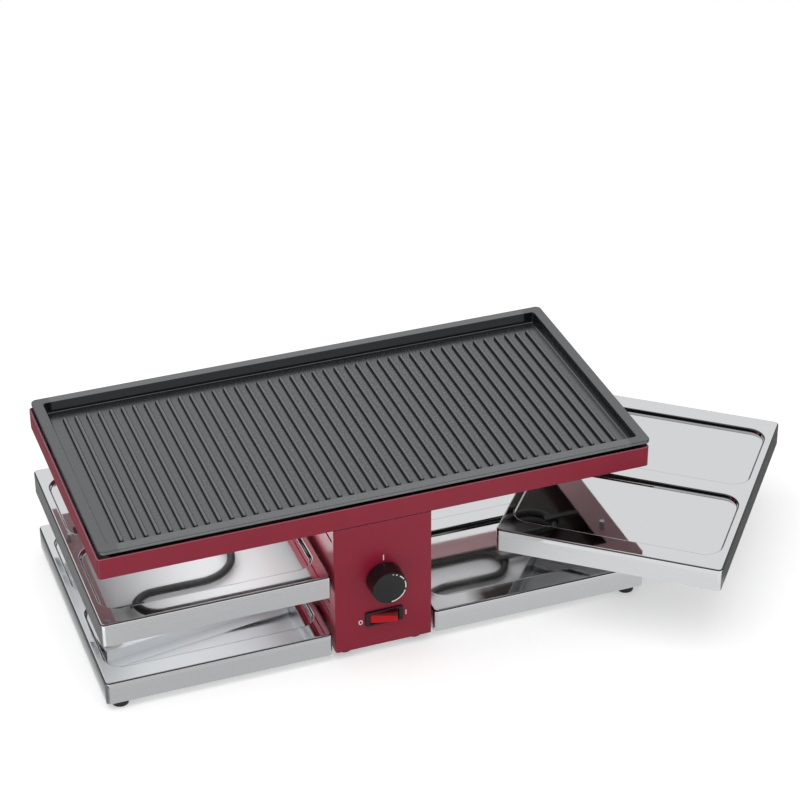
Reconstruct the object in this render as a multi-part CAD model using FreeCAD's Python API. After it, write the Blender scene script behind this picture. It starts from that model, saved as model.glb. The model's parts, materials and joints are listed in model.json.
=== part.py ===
import FreeCAD, Part
import math
import os

from FreeCAD import Placement, Rotation, Vector

# A raclette grill for eight pans: a red column carries a heated top frame with a lift-out
# cast grill plate, two parking trays stand at its foot, and two cooking trays swing out
# from under the frame on posts. Millimetres, +Z up, +X to the right, the front faces -Y.
# The origin is on the table plane under the middle of the column.

# Overall levels, measured from the table
TRAY_HEIGHT = 19.6
LOWER_TRAY_Z = 6.5
UPPER_TRAY_Z = 61.3
FRAME_Z = 122.3
FRAME_HEIGHT = 17.6
PLATE_TOP_Z = 146.5
COLUMN_Z = 7.2
COLUMN_TOP_Z = 121.5

# Trays, pressed from polished stainless sheet
TRAY_WIDTH = 180.5
TRAY_DEPTH = 225.0
TRAY_SHEET = 0.8
TRAY_CENTRE_X = 132.2
TRAY_CORNER_RADIUS = 3.5
TRAY_EDGE_RADIUS = 1.7
RECESS_WIDTH = 168.0
RECESS_DEPTH = 87.0
RECESS_SINK = 3.4
RECESS_RADIUS = 15.0
RECESS_DRAFT = 1.2
RECESS_PITCH = 103.0
RECESS_LIP_RADIUS = 1.6
RECESS_FLOOR_RADIUS = 0.9

# How far past a mouth's outline the middle of one of its edges may lie
LIP_SLACK = 0.4

# Swing of the upper trays: a shoe turns on a fixed post and slides in an oblique slot
SWING_ANGLE = 38.5
OPEN_CENTRE = (239.5, -65.0)
POST_X = 192.0
POST_RADIUS = 6.0
SPIGOT_RADIUS = 3.0
POST_SHOULDER_Z = 63.2
SPIGOT_TOP_Z = 69.8
RAIL_WEB_Z = 66.0
RAIL_SHEET = 1.2
RAIL_HALF_INSIDE = 11.0
RAIL_HALF_FLANGE = 22.0
RAIL_END_MARGIN = 2.5
RAIL_SIDE_CLEARANCE = 0.8
SHOE_NECK_WIDTH = 10.0
SHOE_NECK_LENGTH = 14.0
SHOE_FLANGE_RADIUS = 9.0
SHOE_CAP_RADIUS = 8.2
POST_FOOT_RADIUS = 7.0
POST_FOOT_HEIGHT = 2.2
POST_TAP_DEPTH = 12.0
WASHER_RADIUS = 6.0
WASHER_THICKNESS = 1.0
SLOT_PLAY = 0.1
TURN_PLAY = 0.05
FACE_GAP = 0.3

# Top frame, folded from powder-coated sheet
FRAME_LENGTH = 442.0
FRAME_DEPTH = 225.7
FRAME_SHEET = 1.2
FRAME_CORNER_RADIUS = 2.6
FLANGE_WIDTH = 22.0
EDGE_ROLL_RADIUS = 0.55

# Cast grill plate
PLATE_LENGTH = 441.0
PLATE_DEPTH = 226.4
PLATE_OFFSET_X = 1.3
PLATE_RIM_THICKNESS = 3.3
PLATE_RIM_WIDTH = 8.3
PLATE_CORNER_RADIUS = 4.5
PLATE_EDGE_RADIUS = 0.9
PLATE_LIP_RADIUS = 0.5
PLATE_SINK = 8.6
PLATE_WALL_RUN = 2.4
PLATE_FLOOR = 3.4
PLATE_WALL = 3.0
PLATE_FLOOR_RADIUS = 0.9
PLATE_UNDER_RADIUS = 2.0
RIB_COUNT = 43
RIB_PITCH = 9.47
RIB_RADIUS = 1.75
RIB_LIFT = 0.9
RIB_FRONT_Y = -94.0
RIB_BACK_Y = 88.5

# Heating tube
TUBE_RADIUS = 3.25
TUBE_Z = 128.5
OUTER_TURN_X = 177.0
INNER_TURN_X = 85.0
RUN_BACK_OUTER_Y = 92.0
RUN_BACK_INNER_Y = 56.0
RUN_FRONT_INNER_Y = -11.0
RUN_FRONT_OUTER_Y = -49.0
TAIL_X = 20.0
TAIL_Y = 75.0
TAIL_BOTTOM_Z = 104.0
TAIL_BEND_RADIUS = 8.0
CLIP_SEAT = 8.0
CLIP_HALF_WIDTH = 2.5
CLIP_SHEET = 1.5

# Column
COLUMN_HALF_WIDTH = 39.65
COLUMN_SHEET = 1.2
COLUMN_EDGE_RADIUS = 1.8
VENT_LEVELS = (35.8, 46.8, 57.8, 109.5)
VENT_HEIGHT = 2.6
VENT_NEAR_Y = 8.0
VENT_FAR_Y = 99.8
TOP_VENT_FAR_Y = 108.5

# Column inside
COLUMN_LIP = 9.0
COVER_SCREW_X = 34.5
COVER_SCREW_LEVELS = (24.0, 108.0)
BRACKET_SHEET = 1.5
BRACKET_Z = 104.0
BRACKET_SCREW_X = 24.0
INLET_Z = 48.0
INLET_WIDTH = 27.0
INLET_HEIGHT = 20.0
INLET_DEPTH = 22.0
INLET_WALL = 2.2
INLET_FLANGE = 2.2
INLET_PIN_BACK = 5.0
INLET_PIN_FRONT = 5.5
INLET_PINS = ((-7.0, -1.5), (0.0, 2.5), (7.0, -1.5))
COVER_GAP = 0.3
BAR_BOLT_X = 20.0
BAR_SCREW_XS = (70.0, 190.0)
BEAD_RADIUS = 4.5
BEAD_LENGTH = 9.0
PIN_RADIUS = 1.5
PIN_LENGTH = 8.0
TERMINAL_Y_INSET = 62.0
TERMINAL_PITCH = 11.0
TERMINAL_HEIGHT = 14.0
TERMINAL_DEPTH = 16.0
TERMINAL_HALF_WIDTH = 18.0
WIRE_LEVEL = 6.0
SLEEVE_RADIUS = 2.5
SLEEVE_LENGTH = 12.0
WIRE_RADIUS = 1.3
WIRE_LEAD = 14.0

# Rests under the plate, screwed to the frame's flange
REST_SHEET = 1.5
REST_SCREW_INSET = 14.0
REST_WALL_INSET = 6.0
REST_TAB = 9.0
REST_HALF_WIDTH = 7.0
REST_Y = 62.0
REST_SCREW_LENGTH = 10.5

# Screw sizes: shank radius, head radius and head height by thread
SCREW_SIZES = {2: (1.0, 1.9, 1.2), 3: (1.5, 3.0, 2.0), 4: (2.0, 3.6, 2.4)}
M3_HOLE = 1.5
M4_HOLE = 2.0

# Control panel
BUSH_RADIUS = 5.0
BUSH_REACH = 4.6
NUT_RADIUS = 8.1
NUT_THICKNESS = 2.8
THERMOSTAT_WIDTH = 36.0
THERMOSTAT_HEIGHT = 32.0
THERMOSTAT_DEPTH = 18.0
THERMOSTAT_BORE = 14.0
SWITCH_BODY_WIDTH = 28.0
SWITCH_BODY_HEIGHT = 12.6
SWITCH_BODY_DEPTH = 18.0
KNOB_Z = 70.0
KNOB_BASE_RADIUS = 14.5
KNOB_FACE_RADIUS = 14.0
KNOB_LENGTH = 14.8
KNOB_GAP = 0.9
KNOB_EDGE_RADIUS = 0.7
KNOB_WELL_RADIUS = 10.0
KNOB_WELL_DEPTH = 5.5
SPINDLE_RADIUS = 3.0
SPINDLE_FLAT = 1.6
SPINDLE_INSET = 3.5
SWITCH_Z = 33.6
BEZEL_WIDTH = 31.0
BEZEL_HEIGHT = 13.4
BEZEL_THICKNESS = 1.8
ROCKER_TILT = 12.0
ROCKER_HALF_WIDTH = 10.6
ROCKER_FACE_REACH = 5.0
ROCKER_BACK_REACH = 3.0
ROCKER_HALF_HEIGHT = 4.4
ROCKER_PLAY = 0.35
PIVOT_RADIUS = 1.0
PIVOT_REACH = 1.2
TAB_XS = (-8.0, 0.0, 8.0)
TAB_LENGTH = 8.0
TAB_HALF_HEIGHT = 3.15
TAB_HALF_THICKNESS = 0.4

# Feet and base
FOOT_RADIUS = 7.5
FOOT_INSET_X = 12.0
FOOT_INSET_Y = 8.7
FOOT_WELL_RADIUS = 4.0
FOOT_WELL_DEPTH = 3.2
FOOT_EDGE_RADIUS = 0.8
COLUMN_FOOT_X = 29.0
COLUMN_FOOT_INSET_Y = 13.8
BASE_SHEET = 1.0
BASE_Z = 6.7
RAIL_BAR_THICKNESS = 2.0
RAIL_BAR_WIDTH = 22.0
RAIL_BAR_Y = 62.0
RAIL_BAR_REACH = 205.0

# Derived levels and planes
lower_tray_top = LOWER_TRAY_Z + TRAY_HEIGHT
upper_tray_top = UPPER_TRAY_Z + TRAY_HEIGHT
frame_top = FRAME_Z + FRAME_HEIGHT
plate_floor_top = PLATE_TOP_Z - PLATE_SINK
plate_rim_z = PLATE_TOP_Z - PLATE_RIM_THICKNESS
front_y = -FRAME_DEPTH / 2
back_y = FRAME_DEPTH / 2
base_top = BASE_Z + BASE_SHEET
bar_top = base_top + RAIL_BAR_THICKNESS
flange_top = FRAME_Z + FRAME_SHEET
floor_top = bar_top + COLUMN_SHEET
cover_y = back_y - COLUMN_SHEET
rocker_pivot_y = front_y + 1.95
rocker_radius = math.hypot(ROCKER_HALF_WIDTH, ROCKER_FACE_REACH)
recess_centre_y = RECESS_PITCH / 2

X_AXIS = Vector(1, 0, 0)
Y_AXIS = Vector(0, 1, 0)
Z_AXIS = Vector(0, 0, 1)


def block(x0, x1, y0, y1, z0, z1):
    """Box between two values on each axis, given in either order."""
    low = Vector(min(x0, x1), min(y0, y1), min(z0, z1))
    return Part.makeBox(abs(x1 - x0), abs(y1 - y0), abs(z1 - z0), low)


def rod(radius, start, direction, length):
    return Part.makeCylinder(radius, length, Vector(*start), direction)


def rounded_wire(width, depth, radius, z):
    """Closed rectangle with round corners, centred on the Z axis."""
    half_x = width / 2
    half_y = depth / 2
    edges = []
    corners = ((1, 1, 0), (-1, 1, 90), (-1, -1, 180), (1, -1, 270))
    ends = []
    for side_x, side_y, start in corners:
        centre = Vector(side_x * (half_x - radius), side_y * (half_y - radius), z)
        points = []
        for turn in (0, 45, 90):
            angle = math.radians(start + turn)
            points.append(centre + Vector(radius * math.cos(angle), radius * math.sin(angle), 0))
        ends.append(points)
    for index, points in enumerate(ends):
        edges.append(Part.Arc(*points).toShape())
        following = ends[(index + 1) % len(ends)][0]
        edges.append(Part.LineSegment(points[2], following).toShape())
    return Part.Wire(edges)


def rounded_block(width, depth, radius, z0, z1):
    face = Part.Face(rounded_wire(width, depth, radius, z0))
    return face.extrude(Vector(0, 0, z1 - z0))


def rounded_frustum(bottom, top, z0, z1):
    """Solid between two round-cornered rectangles given as (width, depth, radius)."""
    return Part.makeLoft([rounded_wire(*bottom, z0), rounded_wire(*top, z1)], True, True)


def edges_at(shape, z, tolerance=0.01):
    """Edges that lie whole in one horizontal plane."""
    found = []
    for edge in shape.Edges:
        box = edge.BoundBox
        if abs(box.ZMin - z) < tolerance and abs(box.ZMax - z) < tolerance:
            found.append(edge)
    return found


def placed(shape, x=0.0, y=0.0, z=0.0, turn=0.0, axis=Z_AXIS):
    """Copy turned about an axis through the origin, in degrees, and then shifted."""
    return shape.transformed(Placement(Vector(x, y, z), Rotation(axis, turn)).toMatrix())


def mirrored(shape):
    """The left-hand twin of a right-hand piece."""
    return shape.mirror(Vector(0, 0, 0), X_AXIS)


def group(shapes):
    return Part.makeCompound(shapes)


def all_fused(first, others):
    return first.multiFuse(others).removeSplitter()


def drilled(shape, radius, x, y):
    """Shape with an upright hole through its whole height at (x, y)."""
    box = shape.BoundBox
    return shape.cut(rod(radius, (x, y, box.ZMin - 1), Z_AXIS, box.ZLength + 2))


def pan_screw(x, y, z, length, size=4, direction=Z_AXIS):
    """Pan-head screw whose head stands on (x, y, z) along direction, shank the other way."""
    radius, head_radius, head_height = SCREW_SIZES[size]
    head = rod(head_radius, (x, y, z), direction, head_height)
    seat = Vector(x, y, z)
    crown = [edge for edge in head.Edges if (edge.CenterOfMass - seat).dot(direction) > head_height - 0.01]
    head = head.makeFillet(head_height * 0.4, crown)
    shank = rod(radius, (x, y, z), direction.negative(), length)
    slot_half = head_radius * 0.55
    slot = block(-slot_half, slot_half, -0.4, 0.4, head_height - 0.9, head_height + 1)
    cross = slot.fuse(placed(slot, turn=90.0))
    cross = cross.transformed(Placement(seat, Rotation(Z_AXIS, direction)).toMatrix())
    return head.fuse(shank).cut(cross).removeSplitter()


def tube_along(points, bend_radii, radius):
    """Round tube along straight runs joined by tangent arcs at the inner points."""
    vectors = [Vector(*point) for point in points]
    edges = []
    start = vectors[0]
    for index in range(1, len(vectors) - 1):
        corner = vectors[index]
        back = (vectors[index - 1] - corner).normalize()
        ahead = (vectors[index + 1] - corner).normalize()
        half = back.getAngle(ahead) / 2
        reach = bend_radii[index - 1] / math.tan(half)
        first = corner + back * reach
        last = corner + ahead * reach
        middle_direction = (back + ahead).normalize()
        centre = corner + middle_direction * (bend_radii[index - 1] / math.sin(half))
        middle = centre - middle_direction * bend_radii[index - 1]
        if first.distanceToPoint(start) > 0.001:
            edges.append(Part.LineSegment(start, first).toShape())
        edges.append(Part.Arc(first, middle, last).toShape())
        start = last
    edges.append(Part.LineSegment(start, vectors[-1]).toShape())
    path = Part.Wire(edges)
    section = Part.Wire([Part.Circle(vectors[0], vectors[1] - vectors[0], radius).toShape()])
    return path.makePipeShell([section], True, True)


def tray_shell():
    """One pressed tray about its own centre, underside at zero, with its two recesses."""
    outer = rounded_block(TRAY_WIDTH, TRAY_DEPTH, TRAY_CORNER_RADIUS, 0, TRAY_HEIGHT)
    outer = outer.makeFillet(TRAY_EDGE_RADIUS, edges_at(outer, TRAY_HEIGHT))
    inner = rounded_block(
        TRAY_WIDTH - 2 * TRAY_SHEET,
        TRAY_DEPTH - 2 * TRAY_SHEET,
        TRAY_CORNER_RADIUS - TRAY_SHEET,
        -1,
        TRAY_HEIGHT - TRAY_SHEET,
    )
    inner = inner.makeFillet(TRAY_EDGE_RADIUS - TRAY_SHEET, edges_at(inner, TRAY_HEIGHT - TRAY_SHEET))
    shell = outer.cut(inner)
    foot = (RECESS_WIDTH - 2 * RECESS_DRAFT, RECESS_DEPTH - 2 * RECESS_DRAFT, RECESS_RADIUS - RECESS_DRAFT)
    mouth = (RECESS_WIDTH, RECESS_DEPTH, RECESS_RADIUS)
    wrap = 2 * TRAY_SHEET
    foot_outside = (foot[0] + wrap, foot[1] + wrap, foot[2] + TRAY_SHEET)
    mouth_outside = (mouth[0] + wrap, mouth[1] + wrap, mouth[2] + TRAY_SHEET)
    floor_z = TRAY_HEIGHT - RECESS_SINK
    hollow = rounded_frustum(foot, mouth, floor_z, TRAY_HEIGHT)
    hollow = hollow.makeFillet(RECESS_FLOOR_RADIUS, edges_at(hollow, floor_z))
    dish = rounded_frustum(foot_outside, mouth_outside, floor_z - TRAY_SHEET, TRAY_HEIGHT - TRAY_SHEET)
    for side in (-1, 1):
        shell = shell.fuse(placed(dish, y=side * recess_centre_y))
        shell = shell.cut(placed(hollow, y=side * recess_centre_y))
    shell = shell.removeSplitter()
    lips = []
    for edge in edges_at(shell, TRAY_HEIGHT):
        centre = edge.CenterOfMass
        across = abs(centre.x) - RECESS_WIDTH / 2
        along = abs(abs(centre.y) - recess_centre_y) - RECESS_DEPTH / 2
        if max(across, along) < LIP_SLACK:
            lips.append(edge)
    return shell.makeFillet(RECESS_LIP_RADIUS, lips)


def slot_ends():
    """Shoe places in the right tray's own axes, shut and open."""
    shut = Vector(POST_X - TRAY_CENTRE_X, 0, 0)
    reach = Vector(POST_X - OPEN_CENTRE[0], -OPEN_CENTRE[1], 0)
    opened = Rotation(Z_AXIS, SWING_ANGLE).multVec(reach)
    return shut, opened


def along_slot(shape):
    """Carry a piece drawn along X about the slot's middle onto the slot's oblique line."""
    shut, opened = slot_ends()
    middle = (shut + opened) * 0.5
    direction = shut - opened
    turn = math.degrees(math.atan2(direction.y, direction.x))
    return placed(shape, middle.x, middle.y, 0, turn)


def stadium(length, width, z0, z1):
    """Block with half-round ends, length measured over the ends."""
    straight = length - width
    body = block(-straight / 2, straight / 2, -width / 2, width / 2, z0, z1)
    ends = [rod(width / 2, (side * straight / 2, 0, z0), Z_AXIS, z1 - z0) for side in (-1, 1)]
    return all_fused(body, ends)


def guide_rail():
    """Hat-section rail under the right tray, in the tray's axes but at its height over the table."""
    shut, opened = slot_ends()
    travel = (shut - opened).Length
    half_length = (travel + SHOE_NECK_LENGTH) / 2 + RAIL_END_MARGIN
    half_outside = RAIL_HALF_INSIDE + RAIL_SHEET
    flange_z = upper_tray_top - RECESS_SINK - TRAY_SHEET
    web = block(-half_length, half_length, -half_outside, half_outside, RAIL_WEB_Z, RAIL_WEB_Z + RAIL_SHEET)
    pieces = []
    for side in (-1, 1):
        near = side * RAIL_HALF_INSIDE
        pieces.append(block(-half_length, half_length, near, side * half_outside, RAIL_WEB_Z, flange_z))
        pieces.append(block(-half_length, half_length, near, side * RAIL_HALF_FLANGE,
                            flange_z - RAIL_SHEET, flange_z))
    rail = all_fused(web, pieces)
    slot = stadium(travel + SHOE_NECK_LENGTH + 2 * FACE_GAP, SHOE_NECK_WIDTH + 2 * SLOT_PLAY,
                   RAIL_WEB_Z - 1, RAIL_WEB_Z + RAIL_SHEET + 1)
    rail = along_slot(rail.cut(slot))
    half_inside_tray = TRAY_WIDTH / 2 - TRAY_SHEET - RAIL_SIDE_CLEARANCE
    keep = block(-half_inside_tray, half_inside_tray, -TRAY_DEPTH / 2, TRAY_DEPTH / 2, 0, upper_tray_top)
    return rail.common(keep)


def shoe():
    """Turning and sliding shoe of the right tray, in the tray's axes, centred on its own bore."""
    flange_bottom = POST_SHOULDER_Z + FACE_GAP
    neck_bottom = RAIL_WEB_Z - FACE_GAP
    neck_top = RAIL_WEB_Z + RAIL_SHEET + FACE_GAP
    cap_top = SPIGOT_TOP_Z - FACE_GAP
    lower_flange = rod(SHOE_FLANGE_RADIUS, (0, 0, flange_bottom), Z_AXIS, neck_bottom - flange_bottom)
    neck = stadium(SHOE_NECK_LENGTH, SHOE_NECK_WIDTH, neck_bottom, neck_top)
    cap = rod(SHOE_CAP_RADIUS, (0, 0, neck_top), Z_AXIS, cap_top - neck_top)
    body = drilled(all_fused(lower_flange, [neck, cap]), SPIGOT_RADIUS + TURN_PLAY, 0, 0)
    shut, opened = slot_ends()
    direction = shut - opened
    return placed(body, turn=math.degrees(math.atan2(direction.y, direction.x)))


def post():
    """Fixed post that stands on a lower tray, tapped at both ends."""
    foot = rod(POST_FOOT_RADIUS, (0, 0, lower_tray_top), Z_AXIS, POST_FOOT_HEIGHT)
    shaft = rod(POST_RADIUS, (0, 0, lower_tray_top), Z_AXIS, POST_SHOULDER_Z - lower_tray_top)
    shaft = shaft.makeChamfer(0.8, edges_at(shaft, POST_SHOULDER_Z))
    spigot = rod(SPIGOT_RADIUS, (0, 0, POST_SHOULDER_Z), Z_AXIS, SPIGOT_TOP_Z - POST_SHOULDER_Z)
    body = all_fused(shaft, [foot, spigot])
    top_hole = rod(M3_HOLE, (0, 0, SPIGOT_TOP_Z - POST_TAP_DEPTH), Z_AXIS, POST_TAP_DEPTH + 1)
    foot_hole = rod(M4_HOLE, (0, 0, lower_tray_top - 1), Z_AXIS, POST_TAP_DEPTH + 1)
    return body.cut(top_hole).cut(foot_hole)


def build_trays(parts):
    tray = tray_shell()
    right_lower = placed(tray, TRAY_CENTRE_X, 0, LOWER_TRAY_Z)
    right_lower = drilled(right_lower, M4_HOLE, POST_X, 0)
    notch_half = RAIL_BAR_WIDTH / 2 + FACE_GAP
    for side in (-1, 1):
        notch_y = side * RAIL_BAR_Y
        notch = block(COLUMN_HALF_WIDTH, COLUMN_HALF_WIDTH + 8, notch_y - notch_half, notch_y + notch_half,
                      0, bar_top + FACE_GAP)
        right_lower = right_lower.cut(notch)
    parts["right_lower_tray"] = right_lower
    parts["left_lower_tray"] = mirrored(right_lower)
    parts["right_upper_tray"] = placed(tray, *OPEN_CENTRE, UPPER_TRAY_Z, -SWING_ANGLE)
    parts["left_upper_tray"] = placed(tray, -TRAY_CENTRE_X, 0, UPPER_TRAY_Z)
    rail = guide_rail()
    parts["right_guide_rail"] = placed(rail, *OPEN_CENTRE, 0, -SWING_ANGLE)
    parts["left_guide_rail"] = mirrored(placed(rail, TRAY_CENTRE_X))
    parts["right_shoe"] = placed(shoe(), POST_X, turn=-SWING_ANGLE)
    parts["left_shoe"] = mirrored(placed(shoe(), POST_X))
    right_post = placed(post(), POST_X)
    parts["right_post"] = right_post
    parts["left_post"] = mirrored(right_post)
    washers = []
    caps = []
    bolts = []
    for side in (-1, 1):
        x = side * POST_X
        washer = rod(WASHER_RADIUS, (x, 0, SPIGOT_TOP_Z), Z_AXIS, WASHER_THICKNESS)
        washers.append(drilled(washer, M3_HOLE + 0.1, x, 0))
        caps.append(pan_screw(x, 0, SPIGOT_TOP_Z + WASHER_THICKNESS, POST_TAP_DEPTH, size=3))
        bolt_z = lower_tray_top - TRAY_SHEET
        bolts.append(pan_screw(x, 0, bolt_z, POST_TAP_DEPTH - 1, direction=Z_AXIS.negative()))
    parts["post_washers"] = group(washers)
    parts["post_cap_screws"] = group(caps)
    parts["post_foot_screws"] = group(bolts)


def rubber_foot(x, y, height, hole_radius):
    """Tapered foot on the table with a well for its screw's head."""
    foot = Part.makeCone(FOOT_RADIUS - 1, FOOT_RADIUS, height, Vector(x, y, 0), Z_AXIS)
    foot = foot.makeFillet(FOOT_EDGE_RADIUS, edges_at(foot, 0))
    well = rod(FOOT_WELL_RADIUS, (x, y, -1), Z_AXIS, FOOT_WELL_DEPTH + 1)
    return drilled(foot.cut(well), hole_radius, x, y)


def build_base(parts):
    """Base plates that close the lower trays, cross bars that tie them to the column, and feet."""
    inside = 2 * (TRAY_SHEET + 0.2)
    plate = rounded_block(TRAY_WIDTH - inside, TRAY_DEPTH - inside, TRAY_CORNER_RADIUS - TRAY_SHEET,
                          BASE_Z, base_top)
    plate = placed(plate, TRAY_CENTRE_X)
    foot_x = TRAY_CENTRE_X + TRAY_WIDTH / 2 - FOOT_INSET_X
    foot_y = TRAY_DEPTH / 2 - FOOT_INSET_Y
    feet = []
    foot_screws = []
    bars = []
    bar_screws = []
    for side_y in (-1, 1):
        bar_y = side_y * RAIL_BAR_Y
        plate = drilled(plate, M4_HOLE, foot_x, side_y * foot_y)
        bar = block(-RAIL_BAR_REACH, RAIL_BAR_REACH, bar_y - RAIL_BAR_WIDTH / 2, bar_y + RAIL_BAR_WIDTH / 2,
                    base_top, bar_top)
        for x in BAR_SCREW_XS:
            plate = drilled(plate, M3_HOLE, x, bar_y)
        for side_x in (-1, 1):
            x = side_x * foot_x
            y = side_y * foot_y
            feet.append(rubber_foot(x, y, BASE_Z, M4_HOLE))
            foot_screws.append(pan_screw(x, y, FOOT_WELL_DEPTH, 6.5, direction=Z_AXIS.negative()))
            bar = drilled(bar, M4_HOLE, side_x * BAR_BOLT_X, bar_y)
            for screw_x in BAR_SCREW_XS:
                bar = drilled(bar, M3_HOLE, side_x * screw_x, bar_y)
                bar_screws.append(pan_screw(side_x * screw_x, bar_y, bar_top, 4.2, size=3))
        bars.append(bar)
    parts["right_base_plate"] = plate
    parts["left_base_plate"] = mirrored(plate)
    parts["base_bars"] = group(bars)
    parts["tray_feet"] = group(feet)
    parts["tray_foot_screws"] = group(foot_screws)
    parts["base_bar_screws"] = group(bar_screws)


def column_side_cuts():
    """Vent slots and cross-bar notches through both side walls."""
    cuts = []
    reach = COLUMN_HALF_WIDTH + 2
    notch_half = RAIL_BAR_WIDTH / 2 + FACE_GAP
    for level in VENT_LEVELS:
        far_y = TOP_VENT_FAR_Y if level == VENT_LEVELS[-1] else VENT_FAR_Y
        middle = (far_y + VENT_NEAR_Y) / 2
        slot = placed(stadium(far_y - VENT_NEAR_Y, VENT_HEIGHT, -reach, reach), turn=90.0)
        slot = placed(slot, turn=90.0, axis=Y_AXIS)
        for side_y in (-1, 1):
            cuts.append(placed(slot, 0, side_y * middle, level))
    for side_y in (-1, 1):
        y = side_y * RAIL_BAR_Y
        cuts.append(block(-reach, reach, y - notch_half, y + notch_half, 0, bar_top + 2 * FACE_GAP))
    return cuts


def build_column(parts):
    """Column skin and its back cover with the screws that hold it."""
    skin = rounded_block(2 * COLUMN_HALF_WIDTH, FRAME_DEPTH, COLUMN_EDGE_RADIUS, COLUMN_Z, COLUMN_TOP_Z)
    inside_half = COLUMN_HALF_WIDTH - COLUMN_SHEET
    inside = rounded_block(2 * inside_half, FRAME_DEPTH - 2 * COLUMN_SHEET, COLUMN_EDGE_RADIUS - COLUMN_SHEET,
                           COLUMN_Z - 1, COLUMN_TOP_Z + 1)
    lips = []
    for side in (-1, 1):
        lip_outer = side * (COLUMN_HALF_WIDTH - COLUMN_SHEET / 2)
        lip_inner = side * (COLUMN_HALF_WIDTH - COLUMN_LIP)
        lips.append(block(lip_outer, lip_inner, cover_y - COLUMN_SHEET, cover_y, COLUMN_Z, COLUMN_TOP_Z))
    skin = all_fused(skin.cut(inside), lips)
    skin = skin.cut(block(-2 * inside_half, 2 * inside_half, cover_y, back_y + 1, 0, COLUMN_TOP_Z + 1))
    for cut in column_side_cuts():
        skin = skin.cut(cut)
    skin = skin.cut(rod(BUSH_RADIUS + 0.2, (0, front_y - 1, KNOB_Z), Y_AXIS, 5.0))
    skin = skin.cut(block(-SWITCH_BODY_WIDTH / 2, SWITCH_BODY_WIDTH / 2, front_y - 1, front_y + 4,
                          SWITCH_Z - SWITCH_BODY_HEIGHT / 2, SWITCH_Z + SWITCH_BODY_HEIGHT / 2))
    cover_z0 = COLUMN_Z + COVER_GAP
    cover_z1 = COLUMN_TOP_Z - COVER_GAP
    cover = block(-COLUMN_HALF_WIDTH, COLUMN_HALF_WIDTH, cover_y, back_y, cover_z0, cover_z1)
    upright = [edge for edge in cover.Edges
               if abs(edge.Length - (cover_z1 - cover_z0)) < 0.01 and edge.CenterOfMass.y > back_y - 0.1]
    cover = cover.makeFillet(COLUMN_SHEET * 0.8, upright)
    cover = cover.cut(block(-INLET_WIDTH / 2, INLET_WIDTH / 2, cover_y - 1, back_y + 1,
                            INLET_Z - INLET_HEIGHT / 2, INLET_Z + INLET_HEIGHT / 2))
    cover_screws = []
    for side_x in (-1, 1):
        for z in COVER_SCREW_LEVELS:
            x = side_x * COVER_SCREW_X
            hole = rod(M3_HOLE, (x, cover_y - 5, z), Y_AXIS, 10.0)
            cover = cover.cut(hole)
            skin = skin.cut(hole)
            cover_screws.append(pan_screw(x, back_y, z, 8.0, size=3, direction=Y_AXIS))
    parts["housing"] = skin
    parts["back_cover"] = cover
    parts["cover_screws"] = group(cover_screws)


def build_column_inside(parts):
    """Column floor with its feet, and the top bracket that the frame is screwed to."""
    half_x = COLUMN_HALF_WIDTH - COLUMN_SHEET - 0.1
    half_y = FRAME_DEPTH / 2 - 2 * COLUMN_SHEET - 0.2
    floor = block(-half_x, half_x, -half_y, half_y, bar_top, floor_top)
    bracket = block(-half_x, half_x, -half_y, half_y, BRACKET_Z, FRAME_Z)
    bracket_inside = half_x - BRACKET_SHEET
    bracket = bracket.cut(block(-bracket_inside, bracket_inside, -half_y - 1, half_y + 1,
                                BRACKET_Z - 1, FRAME_Z - BRACKET_SHEET))
    bracket = bracket.cut(block(-TAIL_X - 8, TAIL_X + 8, TAIL_Y - 12, TAIL_Y + 10, BRACKET_Z, FRAME_Z + 1))
    vent_z = VENT_LEVELS[-1]
    bracket = bracket.cut(block(-2 * half_x, 2 * half_x, -TOP_VENT_FAR_Y, TOP_VENT_FAR_Y,
                                vent_z - VENT_HEIGHT, vent_z + VENT_HEIGHT))
    feet = []
    foot_screws = []
    bar_bolts = []
    bracket_screws = []
    for side_x in (-1, 1):
        for side_y in (-1, 1):
            x = side_x * COLUMN_FOOT_X
            y = side_y * (FRAME_DEPTH / 2 - COLUMN_FOOT_INSET_Y)
            feet.append(rubber_foot(x, y, bar_top, M3_HOLE))
            floor = drilled(floor, M3_HOLE, x, y)
            foot_screws.append(pan_screw(x, y, FOOT_WELL_DEPTH, 9.5, size=3, direction=Z_AXIS.negative()))
            bolt_x = side_x * BAR_BOLT_X
            bolt_y = side_y * RAIL_BAR_Y
            floor = drilled(floor, M4_HOLE, bolt_x, bolt_y)
            bar_bolts.append(pan_screw(bolt_x, bolt_y, floor_top, 4.0))
            screw_x = side_x * BRACKET_SCREW_X
            screw_y = side_y * (FRAME_DEPTH - FLANGE_WIDTH) / 2
            bracket = drilled(bracket, M4_HOLE, screw_x, screw_y)
            bracket_screws.append(pan_screw(screw_x, screw_y, flange_top, 7.0))
    parts["housing_floor"] = floor
    parts["column_feet"] = group(feet)
    parts["column_foot_screws"] = group(foot_screws)
    parts["column_bar_bolts"] = group(bar_bolts)
    parts["top_bracket"] = bracket
    parts["frame_screws"] = group(bracket_screws)


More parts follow.
